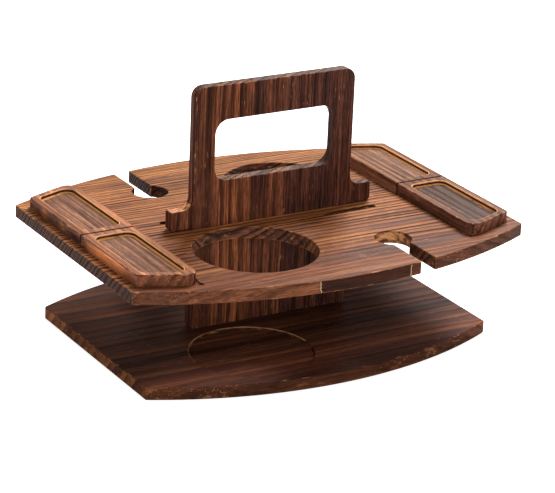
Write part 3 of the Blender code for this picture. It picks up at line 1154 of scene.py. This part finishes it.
# ----------------------------------------------------------------------- studio
@dataclass(frozen=True)
class Studio:
    """Floor, soft lights and camera."""

    azimuth: float = math.radians(-31.27)
    pitch: float = math.radians(21.02)
    roll: float = math.radians(2.47)
    target: tuple = (0.0434, 0.0570, 0.0392)
    distance: float = 2.0225
    lens: float = 163.05
    sensor: float = 36.0
    aim: tuple = (0.0, 0.0, 0.08)
    floor_size: float = 14.0
    floor_level: float = -0.0001
    floor_glow: float = 0.75
    world: float = 0.42

    def build(self) -> None:
        """Set up the whole studio."""
        self.floor()
        self.lights()
        self.camera()

    def floor(self) -> None:
        """Lay a plain pale floor."""
        Bench.clear_selection()
        bpy.ops.mesh.primitive_plane_add(size=self.floor_size, location=(0.0, 0.0, self.floor_level))
        floor = bpy.context.object
        floor.name = "studio_floor"
        material = bpy.data.materials.new("Pale floor")
        material.use_nodes = True
        shader = material.node_tree.nodes["Principled BSDF"]
        shader.inputs["Base Color"].default_value = (0.80, 0.80, 0.80, 1.0)
        shader.inputs["Emission Color"].default_value = (1.0, 1.0, 1.0, 1.0)
        seen = Tree(material.node_tree)
        ray = seen.add("ShaderNodeLightPath").outputs["Is Camera Ray"]
        glow = seen.math("MULTIPLY", ray, self.floor_glow)
        seen.feed(shader.inputs["Emission Strength"], glow)
        shader.inputs["Roughness"].default_value = 0.9
        shader.inputs["Specular IOR Level"].default_value = 0.1
        floor.data.materials.append(material)

    def lights(self) -> None:
        """Hang a large soft key behind and to the right, and a weak fill in front."""
        world = bpy.data.worlds.new("Studio")
        bpy.context.scene.world = world
        world.use_nodes = True
        sky = world.node_tree.nodes["Background"].inputs
        sky["Color"].default_value = (1.0, 1.0, 1.0, 1.0)
        sky["Strength"].default_value = self.world
        self.softbox("key", (1.2, 1.1, 1.7), 1.0, 92.0)
        self.softbox("fill", (-0.9, -1.9, 1.3), 1.4, 14.0)

    def softbox(self, name: str, place: tuple, size: float, power: float) -> None:
        """Add one area light that looks at the stand."""
        data = bpy.data.lights.new(name, "AREA")
        data.shape = "SQUARE"
        data.size = size
        data.energy = power
        light = bpy.data.objects.new(name, data)
        light.location = place
        line = Vector(self.aim) - Vector(place)
        light.rotation_euler = line.to_track_quat("-Z", "Y").to_euler()
        bpy.context.scene.collection.objects.link(light)

    def camera(self) -> None:
        """Place the camera on its sight line to the target."""
        data = bpy.data.cameras.new("camera")
        data.lens = self.lens
        data.sensor_width = self.sensor
        data.clip_end = 30.0
        camera = bpy.data.objects.new("camera", data)
        sight = Vector((math.sin(self.azimuth) * math.cos(self.pitch),
                        -math.cos(self.azimuth) * math.cos(self.pitch), math.sin(self.pitch)))
        right = Vector((math.cos(self.azimuth), math.sin(self.azimuth), 0.0))
        up = sight.cross(right)
        turned_right = right * math.cos(self.roll) + up * math.sin(self.roll)
        turned_up = up * math.cos(self.roll) - right * math.sin(self.roll)
        basis = Matrix((turned_right, turned_up, sight)).transposed()
        station = Vector(self.target) + sight * self.distance
        camera.matrix_world = Matrix.Translation(station) @ basis.to_4x4()
        bpy.context.scene.collection.objects.link(camera)
        bpy.context.scene.camera = camera


# ------------------------------------------------------------------- the stand
class Catalogue:
    """The stand's finishes, each list in the order of the slots."""

    RIBBED = (Band(-0.137, (0.56, 0.47, 0.44), 0.45), Band(-0.100, (0.60, 0.51, 0.48), 0.50),
              Band(-0.096, (0.72, 0.66, 0.62), 0.85), Band(-0.050, (0.78, 0.72, 0.68), 1.0),
              Band(0.020, (0.84, 0.81, 0.80), 1.0), Band(0.070, (0.92, 0.93, 0.91), 1.0),
              Band(0.137, (0.92, 0.95, 0.93), 0.9))
    # Tints along X of the top board's outer sides: the bands at ±0.169 darken both short end faces as
    # painted shade; the others are the tones of the glued staves.
    FRONT_EDGE = (Band(-0.169, (0.42, 0.38, 0.36), 0.8), Band(-0.168, (1.28, 1.30, 1.35), 0.5),
                  Band(-0.036, (1.15, 1.15, 1.2), 0.5), Band(-0.035, (0.18, 0.16, 0.24), 0.6),
                  Band(0.0425, (0.36, 0.31, 0.34), 0.6), Band(0.0435, (0.70, 0.62, 0.60), 0.6),
                  Band(0.168, (0.75, 0.72, 0.70), 0.6), Band(0.169, (0.42, 0.38, 0.36), 0.8))
    EAR_TOPS = (Band(-0.0885, (3.6, 3.4, 3.1), 0.4), Band(-0.071, (3.6, 3.4, 3.1), 0.4),
                Band(-0.069, (0.75, 0.78, 0.85), 0.8), Band(0.0885, (0.85, 0.95, 1.1), 0.8))

    @classmethod
    def top_board(cls) -> list:
        """Brushed ribs all over, smoother and redder along the front."""
        common = dict(pitch=0.0066, bend=2.2, lean=0.8, wander=0.007, ring_tone=0.25, seed=1.0,
                      brushed=1.0, streaks=0.48, gloss=0.07,
                      light=(0.52, 0.205, 0.062), middle=(0.37, 0.128, 0.039), dark=(0.16, 0.052, 0.021))
        side = {**common, "light": (0.30, 0.108, 0.042), "middle": (0.19, 0.064, 0.029),
                "dark": (0.10, 0.035, 0.019)}
        wall = {**common, "light": (0.32, 0.120, 0.055), "middle": (0.17, 0.062, 0.036),
                "dark": (0.08, 0.030, 0.020)}
        return [StainedWood("Top board face", bands=cls.RIBBED, **common),
                StainedWood("Top board arris", wear_and_highlight=0.20, patch=0.004, bands=cls.RIBBED, **common),
                StainedWood("Top board side", bands=cls.FRONT_EDGE, band_axis=0, joints=(-0.035, 0.043),
                            scorch_and_shade=0.2, patch=0.02, flecks=1.0, **side),
                StainedWood("Top board wall", scorch_and_shade=0.30, wear_and_highlight=0.05, patch=0.006, **wall),
                # Front notch wall: rubbed wood plus painted highlight. Rear notch wall: char plus painted
                # shade.
                StainedWood("Front notch wall", scorch_and_shade=0.36, wear_and_highlight=0.50, patch=0.006,
                            bare_and_highlight=(0.85, 0.41, 0.16), **wall),
                StainedWood("Rear notch wall", scorch_and_shade=0.9, patch=0.010, **wall)]

    @classmethod
    def base_board(cls) -> list:
        """Darker, with faint broad stripes."""
        common = dict(pitch=0.0105, lean=0.9, wander=0.010, ring_tone=0.45, seed=7.0, relief=0.0002,
                      gloss=0.035, flecks=0.35, streaks=0.42, brushed=0.55,
                      dark=(0.044, 0.016, 0.010), middle=(0.074, 0.027, 0.015), light=(0.13, 0.047, 0.022))
        bands = (Band(-0.121, (1.0, 0.95, 0.95), 0.5), Band(-0.112, (1.5, 1.4, 1.35), 0.5),
                 Band(-0.085, (2.2, 2.0, 1.9), 0.6), Band(-0.068, (1.5, 1.4, 1.35), 0.6),
                 Band(-0.064, (0.80, 0.80, 0.85), 0.7), Band(0.02, (1.0, 0.95, 0.9), 0.7),
                 Band(0.121, (1.25, 1.15, 1.0), 0.6))
        side = {**common, "middle": (0.19, 0.064, 0.026), "light": (0.34, 0.120, 0.042),
                "dark": (0.09, 0.030, 0.015), "flecks": 1.0}
        return [StainedWood("Base board face", bands=bands, **common),
                StainedWood("Base board arris", wear_and_highlight=0.15, patch=0.004, bands=bands, **common),
                StainedWood("Base board side", scorch_and_shade=0.25, wear_and_highlight=0.10, patch=0.009, **side),
                StainedWood("Base board wall", scorch_and_shade=0.75, wear_and_highlight=0.10, patch=0.006, **side),
                StainedWood("Base board lip", wear_and_highlight=0.60, patch=0.010, bare_and_highlight=(0.46, 0.24, 0.11), **side)]

    @classmethod
    def handle_plate(cls) -> list:
        """Upright bands, dark, with pale end grain on top."""
        common = dict(grain=Grain.ALONG_Z, pitch=0.0062, lean=0.6, wander=0.006, ring_tone=0.30, seed=3.0,
                      relief=0.0003, streaks=0.75, flecks=0.8, gloss=0.06, brushed=0.8,
                      dark=(0.060, 0.023, 0.017), middle=(0.145, 0.048, 0.026), light=(0.25, 0.082, 0.036))
        bands = (Band(-0.090, (0.95, 0.90, 0.90), 0.9), Band(-0.055, (1.0, 0.95, 0.9), 1.0),
                 Band(-0.050, (1.3, 1.25, 1.1), 1.0), Band(-0.022, (1.3, 1.2, 1.05), 1.0),
                 Band(0.005, (0.85, 0.85, 0.95), 0.9), Band(0.090, (0.80, 0.82, 0.95), 0.9))
        top = {**common, "middle": (0.17, 0.072, 0.036), "light": (0.30, 0.135, 0.060)}
        return [StainedWood("Plate face", bands=bands, band_axis=0, **common),
                StainedWood("Plate arris", wear_and_highlight=0.12, patch=0.004, bands=bands, band_axis=0, **common),
                StainedWood("Plate side", scorch_and_shade=0.3, patch=0.02, **common),
                StainedWood("Plate end grain", scorch_and_shade=0.22, wear_and_highlight=0.04, patch=0.005, bands=cls.EAR_TOPS,
                            band_axis=0, **top)]

    @classmethod
    def tray(cls, number: int) -> list:
        """Greyish brown floors, paler rims and scorched sides, each tray from its own board with its own
        floor tint; painted highlight on the left rims, painted shade on the right rims.
        """
        common = dict(grain=Grain.ALONG_Y, pitch=0.0072, lean=0.5, wander=0.004, ring_tone=0.20,
                      seed=11.0 + 5.0 * number, relief=0.00035, brushed=0.7, gloss=0.06)
        rim = dict(dark=(0.19, 0.078, 0.044), middle=(0.31, 0.125, 0.064), light=(0.52, 0.225, 0.105))
        side = dict(dark=(0.13, 0.052, 0.034), middle=(0.27, 0.100, 0.056), light=(0.48, 0.180, 0.080))
        depth = (0.97, 0.87, 0.31, 0.80)[number]
        floor = {name: tuple(depth * channel for channel in colour) for name, colour in (
            ("dark", (0.14, 0.062, 0.036)), ("middle", (0.24, 0.104, 0.056)),
            ("light", (0.33, 0.148, 0.082)))}
        rubbed = {0: (Band(-0.110, (0.9, 0.85, 0.8), 0.8), Band(-0.078, (1.2, 1.1, 1.0), 0.7),
                      Band(-0.055, (3.2, 2.9, 1.9), 0.6), Band(-0.030, (3.8, 3.5, 2.2), 0.6),
                      Band(-0.012, (2.5, 2.3, 1.6), 0.8), Band(-0.004, (0.8, 0.7, 0.6), 0.9)),
                  1: (Band(0.004, (1.0, 1.0, 1.0), 0.8), Band(0.054, (1.0, 1.0, 1.0), 0.7),
                      Band(0.063, (2.4, 2.1, 1.4), 0.6), Band(0.070, (1.0, 1.0, 1.0), 0.7),
                      Band(0.110, (1.0, 1.0, 1.0), 0.8))}.get(number, ())
        # Rim tints along X: the left trays' rims (lit) carry thin painted highlight lines near both edges;
        # the right trays' rims are darkened as painted shade.
        lit = (Band(-0.1613, (0.80, 0.75, 0.75), 1.0), Band(-0.1575, (1.0, 0.98, 0.95), 1.0),
               Band(-0.1560, (1.7, 1.6, 1.3), 0.6), Band(-0.1540, (1.7, 1.6, 1.3), 0.6),
               Band(-0.1530, (1.0, 1.0, 1.0), 1.0), Band(-0.1235, (0.95, 0.93, 0.93), 1.0),
               Band(-0.1205, (1.45, 1.35, 1.1), 0.7), Band(-0.1170, (0.80, 0.75, 0.75), 1.0))
        painted_shade_rims = (Band(0.1170, (0.50, 0.45, 0.42), 1.0), Band(0.1200, (0.72, 0.66, 0.60), 0.8),
                Band(0.1230, (0.48, 0.44, 0.40), 1.0), Band(0.1613, (0.55, 0.50, 0.46), 1.0))
        across = lit if number < 2 else painted_shade_rims
        looks = {"rim": dict(rim, bands=across, band_axis=0, brushed=0.35),
                 # lip: rubbed inner arris of the rim plus painted highlight along it.
                 "lip": dict(rim, wear_and_highlight=0.72, patch=0.012, bare_and_highlight=(0.85, 0.42, 0.18)),
                 "side": dict(side, scorch_and_shade=0.22, wear_and_highlight=0.16, patch=0.014, bands=rubbed),
                 # recess wall: char plus painted shade on the walls of the recess.
                 "recess wall": dict(side, scorch_and_shade=0.8, wear_and_highlight=0.05, patch=0.008),
                 "floor": dict(floor, brushed=0.5, streaks=0.62),
                 # cove: rubbed fillet plus a painted highlight line at the foot of the recess walls.
                 "cove": dict(side, wear_and_highlight=0.74, patch=0.008, bare_and_highlight=(0.85, 0.38, 0.11)),
                 "arris": dict(side, scorch_and_shade=0.42, wear_and_highlight=0.22, patch=0.006)}
        return [StainedWood(f"Tray {number} {part}", **{**common, **look}) for part, look in looks.items()]


def main() -> None:
    """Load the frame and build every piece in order."""
    logging.basicConfig(level=logging.INFO, format="%(name)s %(message)s")
    bpy.context.scene.view_settings.view_transform = "Standard"
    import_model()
    zinc = [ZincPlate()]
    ear_screws = tuple(Screw(f"ear_screw_{place}", STAND, "screw", zinc) for place in ("left", "right"))
    base_screws = tuple(Screw(f"base_screw_{place}", STAND, "screw", zinc)
                        for place in ("left", "middle", "right"))
    TopBoard("top_board", STAND, "top_board", Catalogue.top_board(), ear_screws).build()
    BaseBoard("base_board", STAND, "base_board", Catalogue.base_board(), base_screws).build()
    for screw in ear_screws + base_screws:
        screw.build()
    HandlePlate("handle_plate", STAND, "handle_plate", Catalogue.handle_plate()).build()
    for number, (column, row) in enumerate((c, r) for c in (-1, 1) for r in (-1, 1)):
        name = f"tray_{'left' if column < 0 else 'right'}_{'front' if row < 0 else 'rear'}"
        Tray(name, name, "tray", Catalogue.tray(number), side=(column, row)).build()
    Studio().build()


if __name__ == "__main__":
    main()
